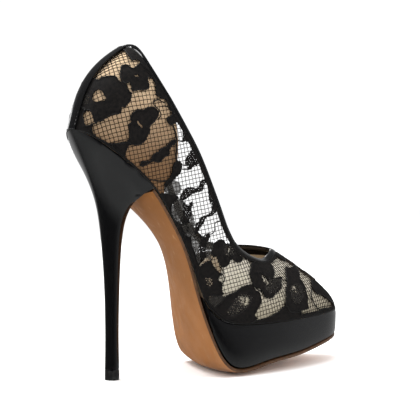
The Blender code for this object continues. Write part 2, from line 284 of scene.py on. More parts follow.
hardRubber, tree = newFinish("hardRubber", (0.01, 0.01, 0.01), 0.45, gloss=0.35)
rub = effect(tree, scuffs, Scale=700.0, Cover=0.25)["Mask"]
paint(tree, blend(tree, rub, (0.007, 0.007, 0.007), (0.03, 0.029, 0.028)), patchy(tree, 300.0, 0.35, 0.6))
bump(tree, effect(tree, leatherGrain, Scale=2600.0)["Height"], 0.2, 0.04)

# closed cloth of the motifs, thinner where the piece's own "open" value says so, its threads along its UV map
laceFinish, tree = newFinish("laceBlack", (0.005, 0.0046, 0.0044), 0.8, gloss=0.12)
threads = effect(tree, weave, "UV", Threads=9.0)["Height"]
thinness = add(tree, "Attribute", attribute_name="open").outputs["Fac"]
tone = blend(tree, patchy(tree, 5.0, on="UV"), (0.0035, 0.0034, 0.0036), (0.011, 0.009, 0.008))
gaps = add(tree, "Math", {0: thinness, 1: threads}, operation="MULTIPLY")
solid = add(tree, "Math", {0: 1.0, 1: gaps.outputs["Value"]}, operation="SUBTRACT")
paint(tree, blend(tree, thinness, tone, (0.06, 0.056, 0.05)), alpha=solid.outputs["Value"])
bump(tree, threads, 0.7, 0.12)

netFinish, tree = newFinish("netThread", (0.012, 0.01, 0.009), 0.8, gloss=0.12)
paint(tree, blend(tree, patchy(tree, 420.0), (0.006, 0.005, 0.0045), (0.03, 0.022, 0.016)))
bump(tree, patchy(tree, 2600.0), 0.4, 0.06)


# twisted thread, dark and light along its turns; the stitch thread's pale grey is painted highlight, standing
# for glints on black thread
def twisted(name, color, roughness, gloss, scale, dark, light):
    made, tree = newFinish(name, color, roughness, gloss)
    twist = patchy(tree, scale)
    paint(tree, blend(tree, twist, dark, light))
    bump(tree, twist, 0.5, 0.08)
    return made


threadFinish = twisted("laceThread", (0.005, 0.005, 0.005), 0.55, 0.25, 2600.0,
                       dark=(0.003, 0.003, 0.003), light=(0.012, 0.011, 0.01))
# pale grey stitches: painted highlight for glints on black thread
stitchPaintedGlintFinish = twisted("stitchThreadPaintedGlint", (0.16, 0.16, 0.16), 0.45, 0.5, 2200.0,
                       dark=(0.08, 0.08, 0.08), light=(0.3, 0.29, 0.28))


# woven lining: light at the top, where the light falls through, darker towards the sole
def woven(name, color, heights, low, high, between, scale, stained, stain):
    made, tree = newFinish(name, color, 0.85, gloss=0.15)
    threads = effect(tree, weave, "UV", Threads=6.0)["Height"]
    tone = blend(tree, threads, between, blend(tree, upShoe(tree, *heights), low, high))
    paint(tree, blend(tree, patchy(tree, scale, high=stained), tone, stain))
    bump(tree, threads, 0.5, 0.12)
    return made


tanLining = woven("tanLining", (0.42, 0.28, 0.15), heights=(122, 188), low=(0.18, 0.1, 0.05),
                  high=(1.0, 0.77, 0.51), between=(0.24, 0.14, 0.07), scale=90.0, stained=0.25,
                  stain=(0.3, 0.15, 0.07))
creamLining = woven("creamLining", (0.62, 0.56, 0.46), heights=(34, 66), low=(0.42, 0.37, 0.28),
                    high=(0.95, 0.88, 0.76), between=(0.3, 0.26, 0.2), scale=70.0, stained=0.4,
                    stain=(0.5, 0.47, 0.33))
print("finishes made")

# hard pieces are smoothed copies of their solids; the heel is shaded with crisper edges
covers = {
    "heelCover": {"node": "heel", "finish": patent, "slot": "patent", "shade": 25},
    "topLift": {"node": "top_lift", "finish": hardRubber, "slot": "hard_rubber"},
    "platformCover": {"node": "platform", "finish": patent, "slot": "patent"},
    "collarPiping": {"node": "topline_binding", "finish": patent, "slot": "patent"},
    "backStrip": {"node": "back_strip", "finish": patent, "slot": "patent"},
}
for name, part in covers.items():
    cover = smoothCopy(part["node"], name, part.get("shade", 50))
    mount(cover, name, part["finish"], [part["node"]])

# the sole's bottom is natural leather; its edge is stained, and its dark brown is also painted shade for the
# shadow under the platform
soleBend = 22   # degrees from face to face, less than at the edge
sole = smoothCopy("outsole", "outsole")
sole.data.materials.append(soleLeather)
sole.data.materials.append(soleEdge)
bottom = min(sole.data.polygons, key=lambda face: face.center.z)
for face in sole.data.polygons:
    face.select = face == bottom
edit(sole, every=False)
bpy.ops.mesh.faces_select_linked_flat(sharpness=math.radians(soleBend))
bpy.ops.mesh.select_all(action="INVERT")
sole.active_material_index = 1
bpy.ops.object.material_slot_assign()
leave()
print("sole edge faces", sum(face.material_index for face in sole.data.polygons))
mount(sole, "soleLeatherBottom", None, ["outsole"])
mount(smoothCopy("insole", "sock"), "sock", sockLeather, ["insole"])

# flat pattern of the upper, one half for each side: the outer wall only, unwrapped and held as a shape key
pattern = {"wallAngle": 38, "seamBack": -0.1, "seamSlope": 0.0105, "facing": 0.8}


def outerWall():
    wall = copyOf("upper", "wallPattern")
    for face in wall.data.polygons:
        face.select = False
    min(wall.data.polygons, key=lambda face: face.center.y).select = True
    edit(wall, every=False)
    bpy.ops.mesh.faces_select_linked_flat(sharpness=math.radians(pattern["wallAngle"]))
    bpy.ops.mesh.select_all(action="INVERT")
    bpy.ops.mesh.delete(type="FACE")
    leave()
    modifier(wall, "SUBSURF", levels=1, render_levels=1)
    edit(wall, "EDGE")
    # cut from the back seam to the middle of the toe
    bpy.ops.mesh.bisect(plane_co=(pattern["seamBack"], 0, 0), plane_no=(-pattern["seamSlope"], 1, 0))
    bpy.ops.mesh.mark_seam()
    bpy.ops.mesh.edge_split(type="EDGE")
    bpy.ops.mesh.select_all(action="SELECT")
    bpy.ops.mesh.quads_convert_to_tris()
    bpy.ops.uv.unwrap(method="ANGLE_BASED", margin=0.05)
    leave()
    return wall


# each half lies as its side is seen, at its true area, the inner one a gap further on
def flatten(wall, gap):
    mesh = wall.data
    points = np.array([vertex.co for vertex in mesh.vertices])
    normals = np.array([vertex.normal for vertex in mesh.vertices])
    corners = np.array([face.vertices for face in mesh.polygons])
    loops = np.zeros(len(mesh.loops) * 2)
    mesh.uv_layers.active.data.foreach_get("uv", loops)
    owner = np.array([loop.vertex_index for loop in mesh.loops])
    spread = np.zeros(len(points), complex)
    spread[owner] = loops[0::2] + 1j * loops[1::2]
    middle = points[corners].mean(axis=1)
    inner = middle[:, 1] > (middle[:, 0] - pattern["seamBack"]) * pattern["seamSlope"]
    flat = np.zeros((len(points), 3))
    for half, sign in ((corners[~inner], 1), (corners[inner], -1)):
        used = np.unique(half)
        side = used[np.abs(normals[used, 1]) > pattern["facing"]]
        wanted = sign * points[side, 0] + 1j * points[side, 2]
        best = None
        for turned in (spread, spread.conj()):
            fit = np.column_stack((turned[side], np.ones(len(side))))
            answer, miss = np.linalg.lstsq(fit, wanted, rcond=None)[:2]
            if best is None or miss[0].real < best[0]:
                best = miss[0].real, turned, answer
        edges = points[half]
        cross = np.cross(edges[:, 1] - edges[:, 0], edges[:, 2] - edges[:, 0])
        area = 0.5 * np.linalg.norm(cross, axis=1).sum()
        laid = best[1][half]
        first, second = laid[:, 1] - laid[:, 0], laid[:, 2] - laid[:, 0]
        size = math.sqrt(area / (0.5 * np.abs(first.real * second.imag - first.imag * second.real).sum()))
        angle = best[2][0] / abs(best[2][0])
        put = best[1][used] * angle * size
        put += (wanted - best[1][side] * angle * size).mean()
        flat[used, 0] = put.real + (gap if sign < 0 else 0)
        flat[used, 1] = put.imag
    wall.shape_key_add(name="worn", from_mix=False)
    key = wall.shape_key_add(name="flat", from_mix=False)
    key.data.foreach_set("co", flat.ravel())
    return flat, corners, inner


medialShift = 0.4
wall = outerWall()
flatPoints, flatFaces, medialFaces = flatten(wall, medialShift)
flatTree = BVHTree.FromPolygons([tuple(p) for p in flatPoints], [tuple(f) for f in flatFaces])
print("pattern ready", len(flatFaces), "faces", flatPoints.min(axis=0), flatPoints.max(axis=0))

# outlines of the lace on the outer side's pattern, x and y by turns in millimetres; the inner side
# gets them mirrored
dense = {
    "heelBlossom": [-95, 185, -92, 182, -89.5, 182.5, -86.5, 182.5, -83.5, 182, -81.5, 181, -80.5, 179,
        -79.5, 177.5, -78, 177.5, -76.5, 176, -76, 174, -75, 172, -74, 171, -74.5, 168, -75.5, 166,
        -77, 164.5, -78.5, 163, -80, 163.5, -80.5, 161, -82, 159.5, -85, 159.5, -88, 158.5, -91, 157,
        -93.5, 156.5, -96, 156.5, -96.5, 158.5, -97, 162, -98.5, 164.5, -101, 165, -104, 168, -105.5, 172.5,
        -104, 177, -101.5, 181, -99.5, 184, -97, 185.5],
    "backFoot": [-105, 169, -100.5, 166, -101.5, 164.5, -103, 163, -102.5, 159.5, -101.5, 156, -98.5, 156,
        -96, 156.5, -97.5, 155, -98, 153.5, -97.5, 151, -95.5, 148, -93, 146.5, -91, 145, -88, 143.5,
        -86, 143.5, -86, 140.5, -90.5, 143, -95, 146, -99, 149, -104, 151.5, -113, 156, -111.5, 163,
        -109, 167],
    "topBlossom": [-78.5, 188, -76.5, 189, -74.5, 188.5, -73.5, 187, -72, 186.5, -70.5, 187.5, -69, 189.5,
        -67, 190.5, -65.5, 189.5, -63.5, 187.5, -61.5, 186, -60.5, 184, -59, 182.5, -61, 181.5, -63, 181.5,
        -63.5, 179.5, -63, 177, -63, 175.5, -64, 174, -67, 173, -70, 173, -72.5, 172, -74, 172.5, -74, 175,
        -75, 177, -77, 176.5, -78.5, 177.5, -79.5, 180, -79.5, 182.5, -79, 185.5],
    "apex": [-78, 206.5, -75, 211, -70, 204, -66, 198, -62, 191.5, -57, 183.5, -59.5, 181.5, -62.5, 184,
        -65.5, 187.5, -67, 190.5, -68, 192.5, -70, 193, -72.5, 192, -73, 194, -74.5, 197, -76, 201.5],
    "collarEdge": [-58.5, 183, -58.5, 178, -58.5, 174, -58.5, 171, -56, 170, -55, 169, -52.5, 169.5,
        -50.5, 168, -48.5, 165.5, -44.5, 164, -48.5, 171.5, -54, 178.5],
    "collarLeaf": [-52, 156, -51.5, 158, -49, 159.5, -46.5, 161, -43.5, 162, -39, 158, -40, 155.5, -43, 154.5,
        -45, 155.5, -47.5, 154, -50, 154],
    "heart": [-76, 157.5, -75, 159.5, -73, 161, -71, 162, -69.5, 162, -67.5, 162, -65, 163.5, -62, 164,
        -60, 163.5, -58.5, 162.5, -57.5, 160.5, -58.5, 158, -60, 156, -61.5, 154.5, -63.5, 153, -64, 151.5,
        -64, 149.5, -65.5, 147.5, -66.5, 145, -68, 143.5, -70.5, 142, -74, 142, -76, 142.5, -78, 144,
        -77, 146.5, -77, 149.5, -77, 152, -77, 154, -75, 155, -76, 156],
    "rimBlob": [-87, 143.5, -84, 143.5, -81, 144, -78.5, 144, -76, 142.5, -77.5, 141.5, -78.5, 139.5,
        -79.5, 137.5, -80, 135, -83, 137.5, -85.5, 139.5, -87, 141],
    "longLeaf": [-70, 129.5, -70.5, 131, -69, 132.5, -65.5, 132.5, -63.5, 133, -63, 135, -61, 137, -58.5, 138,
        -56.5, 140, -53.5, 141, -51.5, 142.5, -50, 144, -48.5, 145, -46.5, 145, -47, 142.5, -49.5, 141,
        -51, 138.5, -51, 136, -53.5, 135, -55.5, 133.5, -57.5, 131.5, -61.5, 132, -65, 131, -67.5, 129.5],
    "liningLeaf": [-46.5, 132, -43.5, 132, -42, 130, -42.5, 127, -43.5, 124.5, -45.5, 123, -47.5, 121,
        -49, 119, -51, 118, -52.5, 116.5, -54, 118, -52.5, 120.5, -50.5, 122.5, -49, 125.5, -48.5, 129],
    "waistFoot": [-56, 113, -51.5, 112.5, -47.5, 112, -44, 110.5, -45, 108.5, -47.5, 106.5, -48.5, 103.5,
        -48, 100, -45.5, 96, -41.5, 94, -38, 93, -37, 90, -39, 87.5, -41.5, 85.5, -46, 93, -51, 103.5,
        -55.5, 110.5],
    "waistStem": [-41, 107, -38.5, 105.5, -36.5, 104.5, -35, 101.5, -35.5, 98.5, -37, 95.5, -39, 93.5,
        -41, 94.5, -41.5, 97, -40.5, 101.5],
    "waistLeafA": [-34.5, 139, -32, 139.5, -29, 138.5, -27, 135, -28, 131, -32, 129.5, -34, 129, -35.5, 127,
        -38, 127.5, -37, 129.5, -39.5, 130.5, -39.5, 133, -37.5, 135.5, -36, 137.5],
    "waistBud": [-41, 149, -38.5, 150, -35.5, 147, -33.5, 143.5, -36.5, 143.5, -39, 144, -41, 144.5,
        -40.5, 147],
    "waistLeafB": [-28.5, 120, -25.5, 121, -25, 119, -26.5, 117, -27, 114.5, -29, 113.5, -31.5, 113,
        -34.5, 112, -37, 110.5, -39, 109, -42, 108, -43, 110, -42, 112.5, -40.5, 114.5, -38.5, 116, -35, 116,
        -32.5, 115.5, -30, 116.5, -29.5, 118.5],
    "waistLeafC": [-20.5, 107, -18, 108, -16, 104, -17.5, 101, -20.5, 99, -23, 98, -25, 97.5, -26.5, 95.5,
        -27, 94, -29, 92, -30.5, 89.5, -32, 87, -33.5, 88.5, -33, 91, -32.5, 93.5, -30.5, 95, -29, 97.5,
        -26.5, 98.5, -23.5, 99.5, -21.5, 101.5, -21, 104],
    "collarBud": [-23.5, 114, -21.5, 115, -18, 109, -19.5, 107, -22, 106.5, -23, 109, -23, 111.5],
    "waistTwig": [-35.5, 107.5, -34.5, 106, -35, 104, -36.5, 101.5, -37.5, 102, -37, 105],
    "waistLeafD": [-25, 87.5, -23, 86.5, -24, 83.5, -25.5, 81, -26, 78, -26.5, 75, -27.5, 71, -29.5, 73,
        -30, 77.5, -30, 81, -29, 84, -27.5, 86],
    "ballEdge": [-41.5, 87.5, -38, 86.5, -35.5, 85, -35, 81, -33, 76, -32, 71.5, -30.5, 67.5, -31, 63,
        -31, 58, -30, 53, -28.5, 48.5, -25.5, 45, -22.5, 41.5, -17.5, 37, -13.5, 34, -9, 32, -4, 30.5,
        1.5, 30, 1.5, 28, -7.5, 28.5, -17.5, 32.5, -25, 39.5, -31, 49.5, -35, 68],
    "throatBlossom": [-21.5, 81, -19.5, 82, -16.5, 83.5, -13, 83, -11.5, 81, -9, 81, -5.5, 80, -3, 77.5,
        -0.5, 74.5, 3, 71.5, 0.5, 69, -4, 69, -7, 71, -9.5, 69.5, -10, 68, -12.5, 66.5, -14.5, 66, -16.5, 67,
        -18, 69.5, -19, 72.5, -21, 73, -22.5, 74.5, -22.5, 77, -21.5, 79],
    "ballLeaf": [-29.5, 68, -27, 69.5, -24.5, 70.5, -22.5, 70, -21.5, 67.5, -19.5, 65, -17.5, 63, -15.5, 62,
        -17.5, 60.5, -19, 58.5, -17, 57.5, -16, 55, -16.5, 52, -15.5, 49.5, -18.5, 48.5, -22, 49, -25, 48.5,
        -25, 45.5, -23, 42, -27, 44, -29.5, 48.5, -31.5, 54.5, -32, 59, -32, 64],
    "vampLeaf": [-22, 41, -18, 44.5, -15.5, 47, -12.5, 49, -9.5, 50, -6, 51, -3, 53, 1, 54, 5.5, 54.5,
        7, 53.5, 7.5, 51, 10, 49.5, 11.5, 48, 11.5, 46, 12, 43.5, 10, 40.5, 7.5, 37.5, 6, 35, 8, 33, 5.5, 31,
        1, 29.5, -4, 29, -9, 30.5, -14, 33, -17.5, 35.5],
    "vampBlossom": [12, 68.5, 20, 71.5, 28, 73, 36, 74, 38, 71.5, 38, 68.5, 36, 65, 33, 61.5, 29, 58.5,
        31.5, 58.5, 37, 59.5, 39.5, 58.5, 35.5, 56, 34.5, 53, 31, 50, 28, 48.5, 24, 47, 21.5, 45, 18, 45,
        15, 46, 14, 49, 12, 51, 9.5, 52, 7, 54, 6.5, 56, 6.5, 58.5, 6.5, 62, 9.5, 65.5],
    "toeBlossom": [53.5, 68.5, 56.5, 66.5, 68.5, 71.5, 66.5, 67.5, 63, 62.5, 59, 58, 59.5, 56, 59.5, 53,
        58.5, 48.5, 57.5, 43, 56, 39.5, 56.5, 37, 51.5, 36, 45, 35.5, 38, 35, 34, 37.5, 32.5, 40.5, 35, 45,
        36.5, 49.5, 41, 53.5, 44, 58.5, 47.5, 63],
    "toeTwig": [4.5, 31, 9, 32, 13, 32.5, 18, 33.5, 22, 35, 26.5, 36.5, 30.5, 39, 34.5, 39, 36, 36, 42, 35,
        48.5, 35.5, 48.5, 33, 51, 31.5, 57.5, 33, 58, 29.5, 42, 27.5, 27.5, 27.5, 15, 27.5, 1.5, 28],
    "throatFront": [50, 81, 54, 78, 58, 74, 63, 77, 68, 82, 60, 88],
    "toeTop": [70, 85, 72, 76, 69, 70, 75, 66, 81, 68, 86, 62, 92, 63, 94, 68, 96, 76, 85, 88],
    "toeTip": [97, 62, 101, 57, 108, 52, 113, 48, 118, 53, 110, 62, 102, 68],
    "toeSide": [68, 52, 74, 58, 80, 57, 88, 52, 95, 48, 100, 44, 92, 43, 84, 44, 76, 46, 70, 47],
    "toeFoot": [62, 32, 70, 36, 80, 38, 86, 36.5, 78, 33, 70, 30],
}
# the toe has other outlines on the inner side
innerDense = {
    "throatFront": [55, 84, 58, 80, 62, 79, 65, 83, 60, 88],
    "toeTop": [70, 86, 68, 80, 72, 77, 76, 79, 78, 73, 84, 72, 87, 75, 92, 72, 96, 76, 85, 88],
    "toeTip": [90, 60, 95, 62, 99, 58, 104, 60, 109, 55, 118, 53, 110, 62, 101, 69, 96, 66],
    "toeSide": [70, 62, 76, 64, 83, 62, 90, 56, 95, 51, 98, 46, 91, 48, 85, 47, 79, 51, 73, 56],
    "toeFoot": [66, 35, 73, 41, 82, 44, 89, 42, 84, 38, 76, 36],
}
# thin woven parts between the motifs
gauze = {
    "heelGauze": [-53.5, 118, -51, 120, -47, 120.5, -44, 119, -42, 116, -43.5, 112.5, -46.5, 111.5,
        -50.5, 112, -53.5, 114],
    "stemGauze": [-41, 95.5, -39.5, 94, -36.5, 94.5, -36, 99, -34.5, 100, -33, 94, -33.5, 91.5, -33, 89,
        -35.5, 88, -39, 89, -41, 91.5],
    "stemNet": [-26, 82, -24, 82.5, -21, 82, -21, 79, -22, 76, -22.5, 73, -24, 71, -26, 73.5, -26, 78],
    "waistGauze": [-47.5, 106, -44.5, 109, -41, 108, -39.5, 106.5, -40.5, 103.5, -41, 100.5, -41.5, 96,
        -42.5, 94, -45.5, 95, -48, 100, -48.5, 103.5],
    "lowGauze": [-38, 93.5, -34.5, 94, -33, 87, -29.5, 84, -30, 78, -29, 72.5, -31.5, 68.5, -33, 74,
        -35.5, 82, -36.5, 85.5, -39.5, 87, -37, 90],
    "ballGauze": [-24.5, 49, -19.5, 49, -16, 48.5, -14, 47, -17.5, 44, -21.5, 41.5, -23, 42, -25, 45.5],
}
# parts of the motifs with open weave
thin = {
    "throat": [-12.5, 81, -9, 81, -5.5, 79.5, -3, 77, -4.5, 74, -10, 73, -12.5, 74.5, -13.5, 77.5],
    "ball": [-27, 60, -23.5, 60.5, -22, 57, -24, 54, -26, 56],
    "leaf": [-13.5, 39, -11, 42.5, -7.5, 46, -3.5, 48.5, 1, 48.5, 5, 46.5, 4, 43.5, 0.5, 40.5, -3.5, 38,
        -8.5, 36, -13, 36.5],
    "vamp": [22, 57, 30, 58, 36, 57, 31, 51.5, 25.5, 48.5, 19.5, 48, 16.5, 51.5],
    "toe": [44.5, 53, 52.5, 54, 55.5, 52.5, 57, 48.5, 53, 44, 48.5, 40.5, 41.5, 40.5, 39.5, 44, 40.5, 49],
    "heel": [-102, 174.5, -98.5, 175.5, -97.5, 171.5, -99, 168.5, -102, 169],
    "toeTop": [80, 76, 86, 74, 86, 68, 80, 70],
}
# and with light specks
specks = {
    "top": [-71, 183, -69.5, 182.5, -68, 181, -69.5, 180, -71, 180.5],
    "throat": [-11, 80.5, -8, 80.5, -7, 77, -9.5, 76, -11, 78],
    "leaf": [-6.5, 47.5, -2, 47.5, 2, 46, 2, 42.5, -2, 41.5, -5, 44],
    "toe": [44.5, 52, 50, 52.5, 50.5, 49.5, 47.5, 47, 43.5, 48],
    "vamp": [16.5, 61, 19.5, 60.5, 22.5, 56, 20.5, 53, 17.5, 55, 15.5, 58],
}
# the blossoms' eyes
holes = {
    "heel": [-96, 171.5, -95, 174, -93, 175, -91.5, 175, -89.5, 173, -89, 171, -88, 169, -89, 168, -90.5, 168,
        -93, 168, -95.5, 169.5],
    "heart": [-72, 155.5, -71, 155.5, -70, 154, -68.5, 152.5, -69, 151.5, -70.5, 153, -71.5, 154],
    "vamp": [18, 60.5, 19.5, 60, 20.5, 58, 21.5, 55, 20, 53.5, 18, 56, 17, 58],
}
# loose scrolls
cords = {
    "liningEdge": [-48, 154, -47, 151, -46, 147.5, -46, 144, -46, 139, -46.5, 135.5, -46, 132],
    "loopA": [-60.5, 168, -61, 166, -60, 164.5, -58, 163, -57, 161.5, -56, 159.5, -58, 157],
    "loopB": [-60.5, 167, -57.5, 168.5, -55, 167.5, -52.5, 167],
    "loopC": [-55, 164.5, -53, 165, -50.5, 164.5, -48.5, 162.5, -47, 161],
    "rimTwig": [-63.5, 121.5, -58, 120.5, -52.5, 120.5],
    "heelScallop": [-99, 155.5, -97, 156, -94.5, 156],
    "heartTail": [-78, 144, -81, 143, -84, 143.5],
    "waistA": [-45.5, 145, -42.5, 144, -40, 144],
    "waistB": [-42.5, 130, -40, 129.5, -37, 129.5],
    "waistC": [-43, 127.5, -40, 127, -37, 127],
    "waistD": [-15, 95, -18, 94.5, -19.5, 93, -19.5, 90.5, -20.5, 88, -22.5, 87, -24.5, 87.5],
    "throatTwig": [-23.5, 70.5, -22, 72, -21, 73.5],
    "ballLink": [-15.5, 62, -14.5, 59, -16, 56],
    "vampLink": [-17.5, 67, -15.5, 64.5, -15, 62],
    "vampTwig": [7.5, 53.5, 9.5, 51, 11.5, 50, 13, 48.5],
    "blossomLink": [38, 57.5, 40.5, 56.5, 43, 56.5],
    "toeLink": [66, 50, 62, 44, 66, 38, 72, 36],
}


# a soft curve through points, cut into even steps
curveSteps = 12


def smoothLine(points, step, closed):
    ring = np.array(points, float)
    before, after = np.roll(ring, 1, axis=0), np.roll(ring, -1, axis=0)
    if not closed:
        before[0], after[-1] = ring[0], ring[-1]
    slope = (after - before) / 2
    spans = len(ring) if closed else len(ring) - 1
    line = []
    for i in range(spans):
        j = (i + 1) % len(ring)
        t = np.linspace(0, 1, curveSteps, endpoint=False)[:, None]
        line.append((2 * t ** 3 - 3 * t ** 2 + 1) * ring[i] + (t ** 3 - 2 * t ** 2 + t) * slope[i]
                    + (3 * t ** 2 - 2 * t ** 3) * ring[j] + (t ** 3 - t ** 2) * slope[j])
    line = np.vstack(line + [ring[:1] if closed else ring[-1:]])
    way = np.r_[0, np.cumsum(np.linalg.norm(np.diff(line, axis=0), axis=1))]
    count = max(6, int(way[-1] / step))
    stops = np.linspace(0, way[-1], count + 1)
    even = np.column_stack([np.interp(stops, way, line[:, k]) for k in (0, 1)])
    return even[:-1] if closed else even


# counts turns round each point, so an outline that crosses itself keeps all of its area
def inside(points, loop):
    x, y = points[:, 0], points[:, 1]
    turns = np.zeros(len(points), int)
    for (ax, ay), (bx, by) in zip(loop, np.roll(loop, -1, axis=0)):
        if ay != by:
            crossed = ((ay > y) != (by > y)) & (x < (bx - ax) * (y - ay) / (by - ay) + ax)
            turns += crossed if by > ay else -1 * crossed
    return turns != 0


def ccw(loop):
    turn = loop[:, 0] * np.roll(loop[:, 1], -1) - loop[:, 1] * np.roll(loop[:, 0], -1)
    return loop if turn.sum() > 0 else loop[::-1]


# a line moved to its left by an even or uneven amount
def beside(line, amount, closed):
    before, after = np.roll(line, 1, axis=0), np.roll(line, -1, axis=0)
    if not closed:
        before[0], after[-1] = line[0], line[-1]
    along = after - before
    along /= np.linalg.norm(along, axis=1)[:, None] + 1e-9
    return line + np.column_stack((-along[:, 1], along[:, 0])) * np.reshape(amount, (-1, 1))


# rounded teeth round a motif, as the thread turns back at its edge
def scalloped(loop, pitch, depth, foot):
    loop = ccw(loop)
    way = np.r_[0, np.cumsum(np.linalg.norm(np.diff(loop, axis=0), axis=1))]
    teeth = max(3, round(way[-1] / pitch))
    wave = np.abs(np.sin(np.pi * teeth * way / way[-1])) - foot
    return beside(loop, -depth * wave, True)


def borderOf(faces):
    pairs = {(a, b) for f in faces.tolist() for a, b in zip(f, f[1:] + f[:1])}
    after = {a: b for a, b in pairs if (b, a) not in pairs}
    start = next(iter(after))
    loop = [start]
    while after[loop[-1]] != start:
        loop.append(after[loop[-1]])
    return np.array(loop)


borderLoops = [ccw(flatPoints[borderOf(flatFaces[half]), :2] / mm) for half in (~medialFaces, medialFaces)]


def toSide(loop, side):
    loop = np.array(loop, float).reshape(-1, 2)
    return loop if side == 0 else np.column_stack((medialShift / mm - loop[:, 0], loop[:, 1]))


def outlineOn(side, name, outline):
    return toSide(innerDense.get(name, outline) if side else outline, side)


# the stretch of a side's border between two of its corners, going round the same way on both sides
corners = {"apex": (-78.6, 210.7), "seamFoot": (-113, 158), "throat": (63, 86.3), "toe": (114.4, 51.8)}
borderStep = 1.0


def stretch(side, first, last):
    loop = borderLoops[side] if side == 0 else borderLoops[side][::-1]
    a, b = (int(np.argmin(((loop - toSide([corners[c]], side)) ** 2).sum(axis=1))) for c in (first, last))
    line = loop[a:b + 1] if a < b else np.vstack((loop[a:], loop[:b + 1]))
    return smoothLine(line, borderStep, False)


# a strip along such a stretch, so wide inside its edge and a little over it
def edgeStrip(line, side, wide, over):
    sign = 1 if side == 0 else -1
    return np.vstack((beside(line, sign * wide, False), beside(line, -sign * over, False)[::-1]))


# evenly spread points, every second row moved on by half a step
def lattice(loop, pitch):
    low, high = loop.min(axis=0), loop.max(axis=0)
    rise = pitch * 0.866
    rows = np.arange(math.floor(low[1] / rise), high[1] / rise + 1)
    points = [((c + 0.5 * (r % 2)) * pitch, r * rise) for r in rows
              for c in np.arange(math.floor(low[0] / pitch), high[0] / pitch + 1)]
    return np.array(points)


crumb = 1.0   # the least area, in square millimetres, that a scrap of cloth may have


# corners that only touch come apart, so that triangles hang together along their edges
def takenApart(coords, tris):
    owner = list(range(tris.size))

    def first(corner):
        while owner[corner] != corner:
            corner = owner[corner]
        return corner

    shared = {}
    for t, tri in enumerate(tris.tolist()):
        for a, b in ((0, 1), (1, 2), (2, 0)):
            edge = frozenset((tri[a], tri[b]))
            for k in (a, b):
                owner[first(3 * t + k)] = first(shared.setdefault((edge, tri[k]), 3 * t + k))
    roots = np.array([first(corner) for corner in range(tris.size)], int)
    kept, faces = np.unique(roots, return_inverse=True)
    return coords[tris.ravel()[kept]], faces.reshape(-1, 3)


def withoutCrumbs(coords, faces, least):
    island, before = np.arange(len(coords)), None
    while before is None or (island != before).any():
        before = island.copy()
        np.minimum.at(island, faces.ravel(), np.repeat(island[faces].min(axis=1), 3))
        island = island[island]
    a, b, c = (coords[faces[:, k]] for k in range(3))
    area = np.abs((b - a)[:, 0] * (c - a)[:, 1] - (b - a)[:, 1] * (c - a)[:, 0]) / 2
    whole = np.bincount(island[faces[:, 0]], area, len(coords))
    used, faces = np.unique(faces[whole[island[faces[:, 0]]] > least], return_inverse=True)
    return coords[used], faces.reshape(-1, 3).tolist()


# triangles of one outline, cut to the border of its side, with its holes left out
def cutSheet(loop, border, holes, spacing):
    rings = [border, loop, *holes]
    starts = np.r_[0, np.cumsum([len(ring) for ring in rings])]
    edges = [(start + i, start + (i + 1) % len(ring)) for start, ring in zip(starts, rings)
             for i in range(len(ring))]
    fill = lattice(loop, spacing)
    points = np.vstack([*rings, fill[inside(fill, loop)]])
    coords, _, tris = geometry.delaunay_2d_cdt([Vector(p) for p in points], edges, [], 0, 0.0001)[:3]
    coords, tris = np.array(coords).reshape(-1, 2), np.array(tris)
    middle = coords[tris].mean(axis=1)
    kept = inside(middle, border) & inside(middle, loop)
    for hole in holes:
        kept &= ~inside(middle, hole)
    return withoutCrumbs(*takenApart(coords, tris[kept]), crumb)


# cloth cut as flat sheets, each at its own level, then worn; its flat place is its UV map, 10 mm to a unit
def sheetPiece(name, sheets, thick, opens=None):
    starts = np.r_[0, np.cumsum([len(points) for points, _, _ in sheets])]
    points = np.vstack([np.column_stack((p, np.full(len(p), level))) for p, _, level in sheets]) * mm
    faces = [[i + start for i in t] for (_, tris, _), start in zip(sheets, starts) for t in tris]
    mesh = bpy.data.meshes.new(name)
    mesh.from_pydata([tuple(p) for p in points], [], faces)
    layer = mesh.uv_layers.new(name="flat")
    owner = np.array([loop.vertex_index for loop in mesh.loops])
    layer.data.foreach_set("uv", (points[owner, :2] / (10 * mm)).ravel())
    if opens:
        mesh.attributes.new("open", "FLOAT", "POINT").data.foreach_set("value", np.concatenate(opens))
    piece = linked(name, mesh)
    modifier(piece, "SOLIDIFY", thickness=thick * mm, offset=-1)
    return wrap(piece)


# round threads along lines of the pattern
def threadPiece(name, lines):
    shape = bpy.data.curves.new(name, "CURVE")
    shape.dimensions = "3D"
    shape.bevel_depth = mm
    shape.bevel_resolution = 1
    shape.use_fill_caps = True
    for line, level, radius, closed in lines:
        spline = shape.splines.new("POLY")
        spline.points.add(len(line) - 1)
        spline.points.foreach_set("co", np.column_stack((line * mm, np.full(len(line), level * mm),
                                                         np.ones(len(line)))).ravel())
        spline.points.foreach_set("radius", np.full(len(line), radius))
        spline.use_cyclic_u = closed
    only(linked(name, shape))
    bpy.ops.object.convert(target="MESH")
    return bpy.context.object


# the parts of a line that lie on the pattern
def runs(line, border, closed):
    there = inside(line, border)
    if there.all():
        return [(line, closed)]
    if closed:
        first = int(np.argmin(there))
        line, there = np.roll(line, -first, axis=0), np.roll(there, -first)
    found, start = [], None
    for i, yes in enumerate([*there, False]):
        if yes and start is None:
            start = i
        if not yes and start is not None:
            if i - start > 3:
                found.append((line[start:i], False))
            start = None
    return found


# lay a flat piece on the shoe: bound to the flat pattern, which then takes its worn shape
def wrap(piece):
    key = wall.data.shape_keys.key_blocks["flat"]
    key.value = 1
    bpy.context.view_layer.update()
    bound = only(piece).modifiers.new("Wrap", "SURFACE_DEFORM")
    bound.target = wall
    bpy.ops.object.surfacedeform_bind(modifier="Wrap")
    key.value = 0
    bpy.context.view_layer.update()
    bpy.ops.object.modifier_apply(modifier="Wrap")
    return piece


